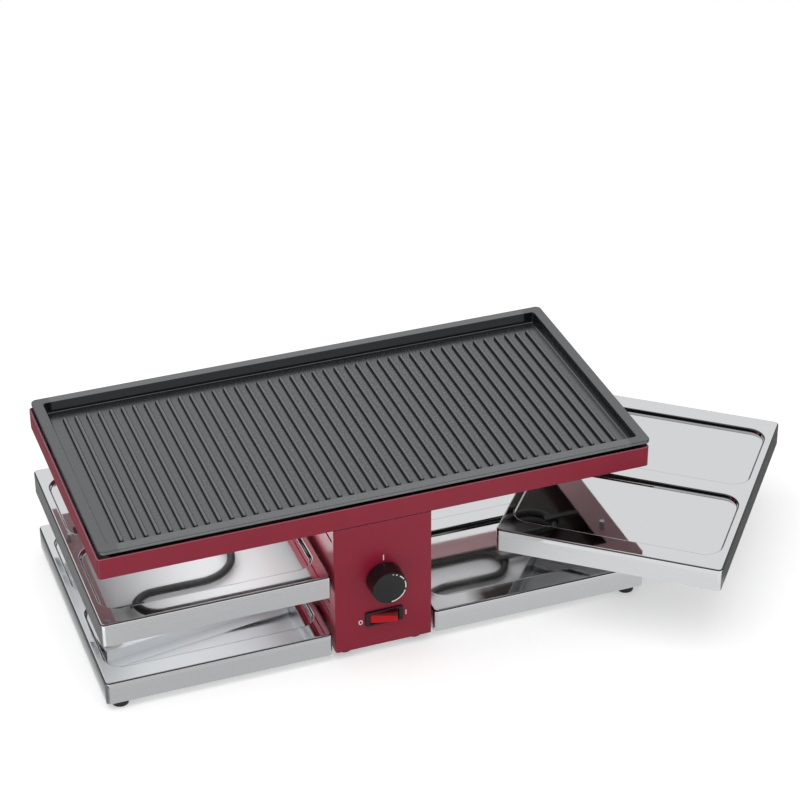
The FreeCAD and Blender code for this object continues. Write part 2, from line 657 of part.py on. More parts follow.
def plate_rest(side_x, y):
    """Folded rest: a foot on the flange, an upright, and a tab under the plate's floor."""
    tab_top = plate_floor_top - PLATE_FLOOR - FACE_GAP
    wall = side_x * (FRAME_LENGTH / 2 - REST_WALL_INSET)
    wall_far = wall + side_x * REST_SHEET
    screw_x = side_x * (FRAME_LENGTH / 2 - REST_SCREW_INSET)
    y0 = y - REST_HALF_WIDTH
    y1 = y + REST_HALF_WIDTH
    foot = block(screw_x - side_x * 5, wall_far, y0, y1, flange_top, flange_top + REST_SHEET)
    upright = block(wall, wall_far, y0, y1, flange_top, tab_top)
    tab = block(wall - side_x * REST_TAB, wall_far, y0, y1, tab_top - REST_SHEET, tab_top)
    rest = all_fused(foot, [upright, tab])
    return rest.cut(rod(M4_HOLE, (screw_x, y, FRAME_Z), Z_AXIS, flange_top + REST_SHEET + 1 - FRAME_Z))


def build_frame(parts):
    """Folded top frame with its bottom flange, the plate's rests and their screws."""
    skirt = rounded_block(FRAME_LENGTH, FRAME_DEPTH, FRAME_CORNER_RADIUS, FRAME_Z, frame_top)
    skirt = skirt.makeFillet(EDGE_ROLL_RADIUS, edges_at(skirt, FRAME_Z) + edges_at(skirt, frame_top))
    well = rounded_block(FRAME_LENGTH - 2 * FRAME_SHEET, FRAME_DEPTH - 2 * FRAME_SHEET,
                         FRAME_CORNER_RADIUS - FRAME_SHEET, flange_top, frame_top + 1)
    window = rounded_block(FRAME_LENGTH - 2 * FLANGE_WIDTH, FRAME_DEPTH - 2 * FLANGE_WIDTH, 2.0,
                           FRAME_Z - 1, frame_top + 1)
    frame = skirt.cut(well).cut(window)
    rests = []
    rest_screws = []
    for side_x in (-1, 1):
        for side_y in (-1, 1):
            x = side_x * (FRAME_LENGTH / 2 - REST_SCREW_INSET)
            y = side_y * REST_Y
            rests.append(plate_rest(side_x, y))
            rest_screws.append(pan_screw(x, y, flange_top + REST_SHEET, REST_SCREW_LENGTH))
            frame = drilled(frame, M4_HOLE, x, y)
            bracket_y = side_y * (FRAME_DEPTH - FLANGE_WIDTH) / 2
            frame = drilled(frame, M4_HOLE, side_x * BRACKET_SCREW_X, bracket_y)
    parts["top_frame"] = frame
    parts["plate_rests"] = group(rests)
    parts["rest_screws"] = group(rest_screws)


def rib(x):
    """One cooking rib from front to back: upright sides, round top and round ends."""
    level = plate_floor_top + RIB_LIFT
    start = RIB_FRONT_Y + RIB_RADIUS
    end = RIB_BACK_Y - RIB_RADIUS
    middle = (RIB_FRONT_Y + RIB_BACK_Y) / 2
    base = stadium(RIB_BACK_Y - RIB_FRONT_Y, 2 * RIB_RADIUS, plate_floor_top - 1, level)
    base = placed(base, x, middle, turn=90.0)
    crown = rod(RIB_RADIUS, (x, start, level), Y_AXIS, end - start)
    tips = [Part.makeSphere(RIB_RADIUS, Vector(x, y, level)) for y in (start, end)]
    return base.multiFuse([crown] + tips)


def build_plate(parts):
    """Cast grill plate: flat rim, sunken floor and round ribs from front to back."""
    rim = rounded_block(PLATE_LENGTH, PLATE_DEPTH, PLATE_CORNER_RADIUS, plate_rim_z, PLATE_TOP_Z)
    rim = rim.makeFillet(PLATE_EDGE_RADIUS, edges_at(rim, PLATE_TOP_Z) + edges_at(rim, plate_rim_z))
    mouth = (PLATE_LENGTH - 2 * PLATE_RIM_WIDTH, PLATE_DEPTH - 2 * PLATE_RIM_WIDTH, 2.5)
    foot = (mouth[0] - 2 * PLATE_WALL_RUN, mouth[1] - 2 * PLATE_WALL_RUN, 2.0)
    wrap = 2 * PLATE_WALL
    under_z = plate_floor_top - PLATE_FLOOR
    outside_foot = (foot[0] + wrap, foot[1] + wrap, 2.0 + PLATE_WALL)
    outside_mouth = (mouth[0] + wrap, mouth[1] + wrap, 2.5 + PLATE_WALL)
    outside = rounded_frustum(outside_foot, outside_mouth, under_z, plate_rim_z + 0.5)
    outside = outside.makeFillet(PLATE_UNDER_RADIUS, edges_at(outside, under_z))
    hollow = rounded_frustum(foot, mouth, plate_floor_top, PLATE_TOP_Z)
    hollow = hollow.makeFillet(PLATE_FLOOR_RADIUS, edges_at(hollow, plate_floor_top))
    plate = all_fused(rim, [outside]).cut(hollow)
    lips = []
    for edge in edges_at(plate, PLATE_TOP_Z):
        across = abs(edge.CenterOfMass.x) - mouth[0] / 2
        along = abs(edge.CenterOfMass.y) - mouth[1] / 2
        if max(across, along) < LIP_SLACK:
            lips.append(edge)
    plate = plate.makeFillet(PLATE_LIP_RADIUS, lips)
    places = [(number - (RIB_COUNT - 1) / 2) * RIB_PITCH for number in range(RIB_COUNT)]
    plate = all_fused(plate, [rib(x) for x in places])
    parts["grill_plate"] = placed(plate, PLATE_OFFSET_X)


def build_heater(parts):
    """One bent heating tube with its end beads, terminal pins and the clips that carry it."""
    back_radius = (RUN_BACK_OUTER_Y - RUN_BACK_INNER_Y) / 2
    inner_radius = (RUN_BACK_INNER_Y - RUN_FRONT_INNER_Y) / 2
    front_radius = (RUN_FRONT_INNER_Y - RUN_FRONT_OUTER_Y) / 2
    half = [
        (TAIL_X, TAIL_Y, TAIL_BOTTOM_Z),
        (TAIL_X, TAIL_Y, TUBE_Z),
        (TAIL_X, RUN_BACK_OUTER_Y, TUBE_Z),
        (OUTER_TURN_X, RUN_BACK_OUTER_Y, TUBE_Z),
        (OUTER_TURN_X, RUN_BACK_INNER_Y, TUBE_Z),
        (INNER_TURN_X, RUN_BACK_INNER_Y, TUBE_Z),
        (INNER_TURN_X, RUN_FRONT_INNER_Y, TUBE_Z),
        (OUTER_TURN_X, RUN_FRONT_INNER_Y, TUBE_Z),
        (OUTER_TURN_X, RUN_FRONT_OUTER_Y, TUBE_Z),
    ]
    half_radii = [TAIL_BEND_RADIUS, TAIL_BEND_RADIUS, back_radius, back_radius,
                  inner_radius, inner_radius, front_radius, front_radius]
    other = [(-x, y, z) for x, y, z in reversed(half)]
    radii = half_radii + list(reversed(half_radii))
    parts["heating_element"] = tube_along(half + other, radii, TUBE_RADIUS)
    beads = []
    pins = []
    for side in (-1, 1):
        x = side * TAIL_X
        bead_z = TAIL_BOTTOM_Z - BEAD_LENGTH
        bead = rod(BEAD_RADIUS, (x, TAIL_Y, bead_z), Z_AXIS, BEAD_LENGTH)
        beads.append(bead.makeFillet(0.8, edges_at(bead, bead_z)))
        pins.append(rod(PIN_RADIUS, (x, TAIL_Y, bead_z - PIN_LENGTH), Z_AXIS, PIN_LENGTH))
    parts["terminal_beads"] = group(beads)
    parts["terminal_pins"] = group(pins)
    clips = []
    clip_reach = FRAME_LENGTH / 2 - FLANGE_WIDTH + CLIP_SEAT
    clip_ys = ((RUN_BACK_OUTER_Y + RUN_BACK_INNER_Y) / 2, (RUN_FRONT_INNER_Y + RUN_FRONT_OUTER_Y) / 2)
    tube_side = OUTER_TURN_X + TUBE_RADIUS
    for side in (-1, 1):
        for y in clip_ys:
            y0 = y - CLIP_HALF_WIDTH
            y1 = y + CLIP_HALF_WIDTH
            arm = block(side * (OUTER_TURN_X - TUBE_RADIUS - 4), side * clip_reach, y0, y1,
                        flange_top, TUBE_Z - TUBE_RADIUS)
            hook = block(side * (tube_side + TURN_PLAY), side * (tube_side + CLIP_SHEET), y0, y1,
                         flange_top, TUBE_Z + 2)
            clips.append(all_fused(arm, [hook]))
    parts["element_clips"] = group(clips)


def build_thermostat(parts):
    """Thermostat behind the front wall with its bush nut, spindle and knob."""
    inner_face = front_y + COLUMN_SHEET
    body = rounded_block(THERMOSTAT_WIDTH, THERMOSTAT_HEIGHT, 3.0, 0, THERMOSTAT_DEPTH)
    body = placed(body, turn=90.0, axis=X_AXIS)
    body = placed(body, 0, inner_face + THERMOSTAT_DEPTH, KNOB_Z)
    bush = rod(BUSH_RADIUS, (0, front_y - BUSH_REACH, KNOB_Z), Y_AXIS, BUSH_REACH + COLUMN_SHEET)
    bore = rod(SPINDLE_RADIUS + TURN_PLAY, (0, front_y - BUSH_REACH - 1, KNOB_Z), Y_AXIS,
               BUSH_REACH + 1 + THERMOSTAT_BORE)
    parts["thermostat_body"] = all_fused(body, [bush]).cut(bore)
    corners = []
    for step in range(7):
        angle = math.radians(60 * step)
        corners.append(Vector(NUT_RADIUS * math.cos(angle), 0, NUT_RADIUS * math.sin(angle)))
    nut = Part.Face(Part.makePolygon(corners)).extrude(Vector(0, NUT_THICKNESS, 0))
    nut = placed(nut, 0, front_y - NUT_THICKNESS, KNOB_Z)
    parts["thermostat_nut"] = nut.cut(rod(BUSH_RADIUS, (0, front_y - 5, KNOB_Z), Y_AXIS, 8.0))
    knob_back = front_y - KNOB_GAP
    knob_front = knob_back - KNOB_LENGTH
    well_bottom = knob_back - KNOB_WELL_DEPTH
    spindle_end = knob_front + SPINDLE_INSET
    spindle_back = front_y + THERMOSTAT_BORE - 1
    flat = block(-5, 5, spindle_end - 1, well_bottom, KNOB_Z + SPINDLE_FLAT, KNOB_Z + 5)
    spindle = rod(SPINDLE_RADIUS, (0, spindle_end, KNOB_Z), Y_AXIS, spindle_back - spindle_end)
    parts["knob_spindle"] = spindle.cut(flat)
    knob = Part.makeCone(KNOB_BASE_RADIUS, KNOB_FACE_RADIUS, KNOB_LENGTH, Vector(0, knob_back, KNOB_Z),
                         Y_AXIS.negative())
    face_edge = [edge for edge in knob.Edges if edge.CenterOfMass.y < knob_front + 0.01]
    knob = knob.makeFillet(KNOB_EDGE_RADIUS, face_edge)
    well = rod(KNOB_WELL_RADIUS, (0, knob_back + 1, KNOB_Z), Y_AXIS.negative(), KNOB_WELL_DEPTH + 1)
    socket = rod(SPINDLE_RADIUS, (0, spindle_end, KNOB_Z), Y_AXIS, KNOB_LENGTH)
    parts["knob"] = knob.cut(well).cut(socket.cut(flat))


def build_switch(parts):
    """Rocker switch: snap-in body with its bezel, the rocker on two pivots, and the rear tabs."""
    bezel = placed(rounded_block(BEZEL_WIDTH, BEZEL_HEIGHT, 1.6, 0, BEZEL_THICKNESS), turn=90.0, axis=X_AXIS)
    bezel = placed(bezel, 0, front_y, SWITCH_Z)
    front_edges = [edge for edge in bezel.Edges if edge.BoundBox.YMax < front_y - BEZEL_THICKNESS + 0.01]
    bezel = bezel.makeFillet(0.6, front_edges)
    case_back = front_y + SWITCH_BODY_DEPTH
    case = block(-SWITCH_BODY_WIDTH / 2, SWITCH_BODY_WIDTH / 2, front_y, case_back,
                 SWITCH_Z - SWITCH_BODY_HEIGHT / 2, SWITCH_Z + SWITCH_BODY_HEIGHT / 2)
    cavity_radius = rocker_radius + ROCKER_PLAY
    cavity_half = ROCKER_HALF_HEIGHT + ROCKER_PLAY
    cavity = rod(cavity_radius, (0, rocker_pivot_y, SWITCH_Z - cavity_half), Z_AXIS, 2 * cavity_half)
    throat = block(-cavity_radius, cavity_radius, front_y - 3, rocker_pivot_y,
                   SWITCH_Z - cavity_half, SWITCH_Z + cavity_half)
    pivot_half = ROCKER_HALF_HEIGHT + PIVOT_REACH
    socket_half = pivot_half + 0.2
    socket_start = (0, rocker_pivot_y, SWITCH_Z - socket_half)
    sockets = rod(PIVOT_RADIUS + TURN_PLAY, socket_start, Z_AXIS, 2 * socket_half)
    parts["switch_body"] = all_fused(bezel, [case]).cut(cavity).cut(throat).cut(sockets)
    disc = rod(rocker_radius, (0, 0, -ROCKER_HALF_HEIGHT), Z_AXIS, 2 * ROCKER_HALF_HEIGHT)
    rocker = disc.common(block(-15, 15, -ROCKER_FACE_REACH, ROCKER_BACK_REACH, -10, 10))
    long_edges = [edge for edge in rocker.Edges if edge.BoundBox.YMax < -ROCKER_FACE_REACH + 0.01]
    rocker = rocker.makeFillet(0.5, long_edges)
    rocker = all_fused(rocker, [rod(PIVOT_RADIUS, (0, 0, -pivot_half), Z_AXIS, 2 * pivot_half)])
    parts["rocker"] = placed(rocker, 0, rocker_pivot_y, SWITCH_Z, -ROCKER_TILT)
    tabs = [block(x - TAB_HALF_THICKNESS, x + TAB_HALF_THICKNESS, case_back, case_back + TAB_LENGTH,
                  SWITCH_Z - TAB_HALF_HEIGHT, SWITCH_Z + TAB_HALF_HEIGHT) for x in TAB_XS]
    parts["switch_tabs"] = group(tabs)


def build_inlet(parts):
    """Appliance inlet in the back cover with its three pins and two screws."""
    flange = rounded_block(INLET_WIDTH + 8, INLET_HEIGHT + 8, 3.0, 0, INLET_FLANGE)
    flange = placed(flange, turn=90.0, axis=X_AXIS)
    flange = placed(flange, 0, back_y + INLET_FLANGE, INLET_Z)
    half_width = INLET_WIDTH / 2
    half_height = INLET_HEIGHT / 2
    case_front = back_y - INLET_DEPTH
    case_low = INLET_Z - half_height
    case_high = INLET_Z + half_height
    case = block(-half_width, half_width, case_front, back_y + 1, case_low, case_high)
    mouth = block(-half_width + INLET_WALL, half_width - INLET_WALL, case_front + 2.5, back_y + 4,
                  INLET_Z - half_height + INLET_WALL, INLET_Z + half_height - INLET_WALL)
    lengthwise = [edge for edge in mouth.Edges if edge.BoundBox.YLength > INLET_DEPTH]
    inlet = all_fused(flange, [case]).cut(mouth.makeFillet(2.5, lengthwise))
    pins = []
    for x, z in INLET_PINS:
        pin = block(x - 1, x + 1, case_front - INLET_PIN_BACK, back_y - INLET_PIN_FRONT,
                    INLET_Z + z - 2, INLET_Z + z + 2)
        pins.append(pin)
        inlet = inlet.cut(pin)
    screws = []
    for side in (-1, 1):
        x = side * (half_width + 1.6)
        hole = rod(SCREW_SIZES[2][0], (x, back_y - 6, INLET_Z), Y_AXIS, 12.0)
        inlet = inlet.cut(hole)
        parts["back_cover"] = parts["back_cover"].cut(hole)
        screws.append(pan_screw(x, back_y + INLET_FLANGE, INLET_Z, 7.0, size=2, direction=Y_AXIS))
    parts["power_inlet"] = inlet
    parts["inlet_pins"] = group(pins)
    parts["inlet_screws"] = group(screws)


def build_wiring(parts):
    """Terminal block on the column's floor and the inner wires to inlet, switch and heater."""
    block_y = back_y - TERMINAL_Y_INSET
    wire_z = floor_top + WIRE_LEVEL
    terminal = block(-TERMINAL_HALF_WIDTH, TERMINAL_HALF_WIDTH, block_y - TERMINAL_DEPTH / 2,
                     block_y + TERMINAL_DEPTH / 2, floor_top, floor_top + TERMINAL_HEIGHT)
    sleeves = []
    rear_wires = []
    inlet_back = back_y - INLET_DEPTH - INLET_PIN_BACK
    for step, (pin_x, pin_z) in zip((-1, 0, 1), INLET_PINS):
        x = step * TERMINAL_PITCH
        terminal = terminal.cut(rod(SLEEVE_RADIUS, (x, block_y - TERMINAL_DEPTH, wire_z), Y_AXIS,
                                    2 * TERMINAL_DEPTH))
        sleeve = rod(SLEEVE_RADIUS, (x, block_y - SLEEVE_LENGTH / 2, wire_z), Y_AXIS, SLEEVE_LENGTH)
        sleeves.append(sleeve.cut(rod(WIRE_RADIUS + TURN_PLAY, (x, block_y - SLEEVE_LENGTH, wire_z), Y_AXIS,
                                      2 * SLEEVE_LENGTH)))
        rear_wires.append(tube_along(
            [(pin_x, inlet_back, INLET_Z + pin_z), (pin_x, inlet_back - 12, INLET_Z + pin_z),
             (x, block_y + 18, wire_z), (x, block_y + SLEEVE_LENGTH / 2, wire_z)],
            [5.0, 5.0], WIRE_RADIUS))
    front_wires = []
    tab_y = front_y + SWITCH_BODY_DEPTH + TAB_LENGTH
    thermostat_back = front_y + COLUMN_SHEET + THERMOSTAT_DEPTH
    pin_bottom = TAIL_BOTTOM_Z - BEAD_LENGTH - PIN_LENGTH
    for side in (-1, 1):
        x = side * TERMINAL_PITCH
        tab_x = side * TAB_XS[-1]
        front_wires.append(tube_along(
            [(x, block_y - SLEEVE_LENGTH / 2, wire_z), (x, block_y - 30, wire_z),
             (tab_x, tab_y + 25, SWITCH_Z), (tab_x, tab_y, SWITCH_Z)],
            [WIRE_LEAD, WIRE_LEAD], WIRE_RADIUS))
        front_wires.append(tube_along(
            [(x, thermostat_back, KNOB_Z), (x, thermostat_back + 30, KNOB_Z),
             (side * TAIL_X, TAIL_Y, KNOB_Z + 6), (side * TAIL_X, TAIL_Y, pin_bottom)],
            [WIRE_LEAD, 8.0], WIRE_RADIUS))
    parts["terminal_block"] = terminal
    parts["terminal_sleeves"] = group(sleeves)
    parts["supply_wires"] = group(rear_wires)
    parts["control_wires"] = group(front_wires)


def main():
    parts = {}
    build_base(parts)
    build_trays(parts)
    build_column(parts)
    build_column_inside(parts)
    build_frame(parts)
    build_plate(parts)
    build_heater(parts)
    build_thermostat(parts)
    build_switch(parts)
    build_inlet(parts)
    build_wiring(parts)
    os.makedirs("parts", exist_ok=True)
    for name, shape in parts.items():
        if not shape.isValid():
            print("not valid:", name)
        shape.exportStep(os.path.join("parts", name + ".step"))
    print(len(parts), "nodes")


main()
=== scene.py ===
import json
import math

import bmesh
import bpy
from mathutils import Euler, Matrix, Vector


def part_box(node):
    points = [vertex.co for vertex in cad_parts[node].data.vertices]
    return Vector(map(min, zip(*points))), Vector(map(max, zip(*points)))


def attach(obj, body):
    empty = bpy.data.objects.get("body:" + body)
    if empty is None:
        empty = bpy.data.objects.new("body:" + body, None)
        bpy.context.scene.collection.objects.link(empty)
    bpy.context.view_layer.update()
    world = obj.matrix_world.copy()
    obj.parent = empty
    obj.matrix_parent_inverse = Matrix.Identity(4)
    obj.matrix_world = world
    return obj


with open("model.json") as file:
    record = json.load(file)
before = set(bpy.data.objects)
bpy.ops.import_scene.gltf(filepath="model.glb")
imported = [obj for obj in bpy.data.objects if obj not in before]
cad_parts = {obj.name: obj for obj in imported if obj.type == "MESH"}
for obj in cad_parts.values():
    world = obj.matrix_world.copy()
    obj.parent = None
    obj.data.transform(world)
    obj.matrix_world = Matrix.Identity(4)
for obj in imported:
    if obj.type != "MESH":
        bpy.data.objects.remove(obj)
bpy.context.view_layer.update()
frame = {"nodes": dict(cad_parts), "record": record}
nodes = frame["nodes"]

# The looks of a raclette grill. Metres, +Z up, the front faces -Y, and a piece's object
# coordinates are its place at rest. Colours are linear.

MM = 0.001

# The photograph's camera, solved from the corners of the frame, trays and column
CAMERA_PLACE = (-0.51007, -1.57182, 1.18260)
CAMERA_TURN_DEG = (58.354, 0.300, -19.954)
CAMERA_LENS_MM = 111.14
SENSOR_WIDTH_MM = 36.0

# World and floor: the camera and the metal see both brighter than they light the grill
WORLD_LIGHT = 0.75
WORLD_SHOWN = 1.0
FLOOR_HALF = 8.0
FLOOR_Z = -0.0003
FLOOR_GREY = 0.85
FLOOR_LIFT = 0.36

# Softbox over the set's left front
SOFTBOX_PLACE = (-0.5, -0.6, 2.2)
SOFTBOX_AIM = (0.0, 0.0, 0.1)
SOFTBOX_SIZE = (2.4, 2.0)
SOFTBOX_WATTS = 22.0

# Lamps that face up in the gaps over the trays: name, middle, size, watts
FILL_LAMPS = (
    ("fill_left_low", (-0.132, 0.0, 0.030), (0.16, 0.20), 0.10),
    ("fill_left_high", (-0.100, 0.0, 0.084), (0.11, 0.17), 0.12),
    ("fill_right_back", (0.120, 0.050, 0.060), (0.14, 0.05), 0.065),
)

# Dark ring round the set, seen only by reflection and lower behind the grill than before it
RING_RADIUS = 1.4
RING_FRONT_HEIGHT = 0.70
RING_BACK_HEIGHT = 0.28
RING_STEPS = 72
RING_GREY = 0.008

# Grey cards on the table, seen only by reflection: name, x and y ranges, brightness
CARD_Z = 0.0006
TABLE_CARDS = (
    ("card_left", (-0.60, -0.2265, -0.14, 0.60), 0.20),
    ("card_front", (-0.2265, 0.04, -0.30, -0.1135), 0.56),
    ("card_front_right", (0.04, 0.26, -0.156, -0.1135), 0.62),
    ("card_far_right", (0.04, 0.32, -0.32, -0.156), 0.84),
    ("card_right", (0.31, 0.60, -0.25, 0.30), 0.10),
)

# A noise texture's values lie mostly between these
NOISE_LOW = 0.3
NOISE_HIGH = 0.7

# Pairs of numbers below are where a mask starts and is full. A facing is how far a face looks
# along an axis, from -1 to 1

# Powder coat: two shades of red, with a painted highlight on edges that face up. The frame has
# painted shade underneath, a greyer red, and on its inside, a dark grey, which starts between
# these depths under its outer faces
RED_DARK = (0.285, 0.010, 0.032)
RED_LIGHT = (0.315, 0.014, 0.040)
RED_PAINTED_HIGHLIGHT = (0.46, 0.12, 0.17)
INSIDE_PAINTED_SHADE = (0.14, 0.115, 0.118)
BELOW_PAINTED_SHADE = (0.33, 0.185, 0.195)
INSIDE_DEPTHS = (0.0007, 0.0005)
HIGHLIGHT_FACING_UP = (0.15, 0.5)
BELOW_SHADE_FACING_UP = (-0.9, -0.6)

# Pressed tray: the satin skirt starts between these depths under the top
STEEL = (0.80, 0.81, 0.82)
STEEL_BRUSHED = (0.74, 0.75, 0.765)
ROLLED_EDGE_PAINTED_REFLECTION = (0.10, 0.10, 0.105)
SKIRT_DEPTHS = (0.0052, 0.0040)
UPRIGHT_FACING_UP = (0.2, 0.5)
UNDER_FACING_UP = (-0.7, -0.4)
ROLLED_FACING_UP_FROM = (0.28, 0.40)
ROLLED_FACING_UP_TO = (0.84, 0.93)
POLISHED_ROUGHNESS = (0.035, 0.06)
SATIN_ADDS_ROUGHNESS = 0.24
UNDER_ADDS_ROUGHNESS = 0.3
BRUSHED_STRETCH = (14, 14, 700)

# Grill plate: its coat, and where its floor, ribs, back wall and bare underside are
COAT_DARK = (0.003, 0.0033, 0.0038)
COAT_LIGHT = (0.009, 0.0098, 0.0108)
COAT_PAINTED_RIB_HIGHLIGHT = (0.050, 0.052, 0.055)
COAT_IOR = 2.3
COAT_TINT = (0.965, 1.0, 1.02)
BARE_METAL = (0.60, 0.605, 0.61)
UNDERSIDE_PAINTED_SHADE = (0.022, 0.014, 0.013)
UNDERSIDE_TOP_Z = (0.1385, 0.1390)
SHADE_FROM_X = (0.128, 0.148)
SHADE_TO_Y = (0.040, 0.060)
SHADE_RAGGED = 0.03
RIBS_END_X = (0.2035, 0.2050)
PLATE_FLOOR_Z = (0.1380, 0.1382)
RIB_CROWN_Z = (0.13955, 0.14025)
BACK_WALL_Y = (0.095, 0.098)
BACK_WALL_DULL = 0.85
FLAT_FACING_UP = (-0.97, -0.9)
STEEP_FACING_SIDE = (0.4, 0.7)
BACK_WALL_FACING_BACK = (-0.75, -0.55)
FULL_SPECULAR = 0.5
DULL_SPECULAR = 0.02

# Rocker: the part above this level, which rises to the left, is in shade
ROCKER_BRIGHT = ((0.57, 0.004, 0.008), (0.63, 0.005, 0.010))
ROCKER_SHADED = (0.16, 0.003, 0.006)
ROCKER_SHADE_Z = 0.0356
ROCKER_SHADE_LEAN = 0.12
ROCKER_SHADE_BLUR = 0.0004

ELEMENT_DARK = (0.009, 0.0085, 0.008)
ELEMENT_LIGHT = (0.026, 0.0245, 0.023)
ZINC = (0.55, 0.56, 0.57)
BRASS = (0.72, 0.55, 0.25)
BLACK_PLASTIC = (0.007, 0.007, 0.008)
RUBBER = (0.018, 0.018, 0.018)
SLIDE_PLASTIC = (0.70, 0.69, 0.65)
CERAMIC = (0.78, 0.76, 0.71)
WIRE_SLEEVE = (0.55, 0.54, 0.50)
PRINT_WHITE = (0.82, 0.82, 0.80)

# White print. Outlines are in millimetres, as x and z, and a bar is its middle, width and height
PRINT_THICKNESS = 0.06 * MM
TICK = ((0.1, 88.7), 0.9, 5.2)
SWITCH_ONE = ((18.2, 32.5), 0.75, 4.4)
SWITCH_ZERO_MIDDLE = (-19.2, 31.7)
SWITCH_ZERO_INNER = (0.95, 1.5)
SWITCH_ZERO_OUTER = (1.7, 2.25)
KNOB_MIDDLE = (0.0, 70.0)
SCALE_INNER = (12.1, 12.1)
SCALE_OUTER = (13.0, 13.0)
SCALE_ARCS_DEG = ((-86, -18), (-9, 21), (30, 52), (62, 68), (77, 81))
ARC_STEPS = 24
BAR_END_STEPS = 8


def link_object(name, data):
    made = bpy.data.objects.new(name, data)
    bpy.context.scene.collection.objects.link(made)
    return made


def make_camera():
    data = bpy.data.cameras.new("camera")
    data.lens = CAMERA_LENS_MM
    data.sensor_width = SENSOR_WIDTH_MM
    camera = link_object("camera", data)
    camera.location = CAMERA_PLACE
    camera.rotation_euler = Euler([math.radians(angle) for angle in CAMERA_TURN_DEG])
    bpy.context.scene.camera = camera


class Graph:
    """A node tree made anew on a material or world, with short calls to fill it."""

    def __init__(self, owner, output="ShaderNodeOutputMaterial"):
        owner.use_nodes = True
        self.owner = owner
        self.tree = owner.node_tree
        self.tree.nodes.clear()
        self.output = self.add(output)

    def add(self, kind, **settings):
        node = self.tree.nodes.new(kind)
        for key, value in settings.items():
            setattr(node, key, value)
        return node

    def link(self, source, target):
        self.tree.links.new(source, target)

    def feed(self, target, value):
        """Sets an input to a number or colour, or links another node's output to it."""
        if isinstance(value, bpy.types.NodeSocket):
            self.link(value, target)
        elif isinstance(value, tuple) and len(value) == 3 and target.type == "RGBA":
            target.default_value = (*value, 1)
        else:
            target.default_value = value

    def show(self, shader):
        self.link(shader.outputs[0], self.output.inputs["Surface"])

    def principled(self, color, roughness, metallic=0.0, **sockets):
        shader = self.add("ShaderNodeBsdfPrincipled")
        self.feed(shader.inputs["Base Color"], color)
        self.feed(shader.inputs["Roughness"], roughness)
        self.feed(shader.inputs["Metallic"], metallic)
        for key, value in sockets.items():
            self.feed(shader.inputs[key.replace("_", " ")], value)
        self.show(shader)
        return shader

    def coordinates(self, kind):
        return self.add("ShaderNodeTexCoord").outputs[kind]

    def split(self, vector, name):
        node = self.add("ShaderNodeSeparateXYZ")
        self.link(vector, node.inputs[0])
        return node.outputs[name]

    def at(self, name):
        """One of a point's coordinates at rest, in metres."""
        return self.split(self.coordinates("Object"), name)

    def facing(self, name):
        """How far a face of the object looks along one of its axes, from -1 to 1."""
        return self.split(self.coordinates("Normal"), name)

    def place(self, stretch=(1, 1, 1)):
        """Object coordinates in metres, stretched along each axis."""
        mapping = self.add("ShaderNodeMapping")
        mapping.inputs["Scale"].default_value = stretch
        self.link(self.coordinates("Object"), mapping.inputs["Vector"])
        return mapping.outputs["Vector"]

    def noise(self, vector, scale, detail=2.0, roughness=0.5):
        node = self.add("ShaderNodeTexNoise")
        node.inputs["Scale"].default_value = scale
        node.inputs["Detail"].default_value = detail
        node.inputs["Roughness"].default_value = roughness
        self.link(vector, node.inputs["Vector"])
        return node.outputs["Fac"]

    def voronoi(self, vector, scale):
        node = self.add("ShaderNodeTexVoronoi")
        node.inputs["Scale"].default_value = scale
        self.link(vector, node.inputs["Vector"])
        return node.outputs["Distance"]

    def remap(self, value, low, high, to_low, to_high):
        node = self.add("ShaderNodeMapRange")
        node.inputs["From Min"].default_value = low
        node.inputs["From Max"].default_value = high
        node.inputs["To Min"].default_value = to_low
        node.inputs["To Max"].default_value = to_high
        self.link(value, node.inputs["Value"])
        return node.outputs["Result"]

    def rising(self, value, low, high):
        """0 below low, 1 above high."""
        return self.remap(value, low, high, 0.0, 1.0)

    def falling(self, value, low, high):
        """1 below low, 0 above high."""
        return self.remap(value, low, high, 1.0, 0.0)

    def spread(self, noise, to_low, to_high):
        """A noise's usual values, mapped to another range."""
        return self.remap(noise, NOISE_LOW, NOISE_HIGH, to_low, to_high)

    def math(self, operation, *values):
        node = self.add("ShaderNodeMath", operation=operation)
        for target, value in zip(node.inputs, values):
            self.feed(target, value)
        return node.outputs["Value"]

    def both(self, first, second):
        return self.math("MULTIPLY", first, second)

    def either(self, first, second):
        return self.math("MAXIMUM", first, second)

    def tint(self, factor, low, high):
        """Colour from low to high by a factor."""
        node = self.add("ShaderNodeMix", data_type="RGBA")
        self.link(factor, node.inputs["Factor"])
        self.feed(node.inputs[6], low)
        self.feed(node.inputs[7], high)
        return node.outputs[2]

    def bump(self, shader, height, strength, distance):
        node = self.add("ShaderNodeBump")
        node.inputs["Strength"].default_value = strength
        node.inputs["Distance"].default_value = distance
        self.link(height, node.inputs["Height"])
        self.link(node.outputs["Normal"], shader.inputs["Normal"])

    def seen_directly_or_mirrored(self):
        """1 for camera, glossy and transmission rays, 0 for the rays that carry light."""
        path = self.add("ShaderNodeLightPath").outputs
        seen = self.either(path["Is Camera Ray"], path["Is Glossy Ray"])
        return self.either(seen, path["Is Transmission Ray"])


def material_graph(name):
    return Graph(bpy.data.materials.new(name))


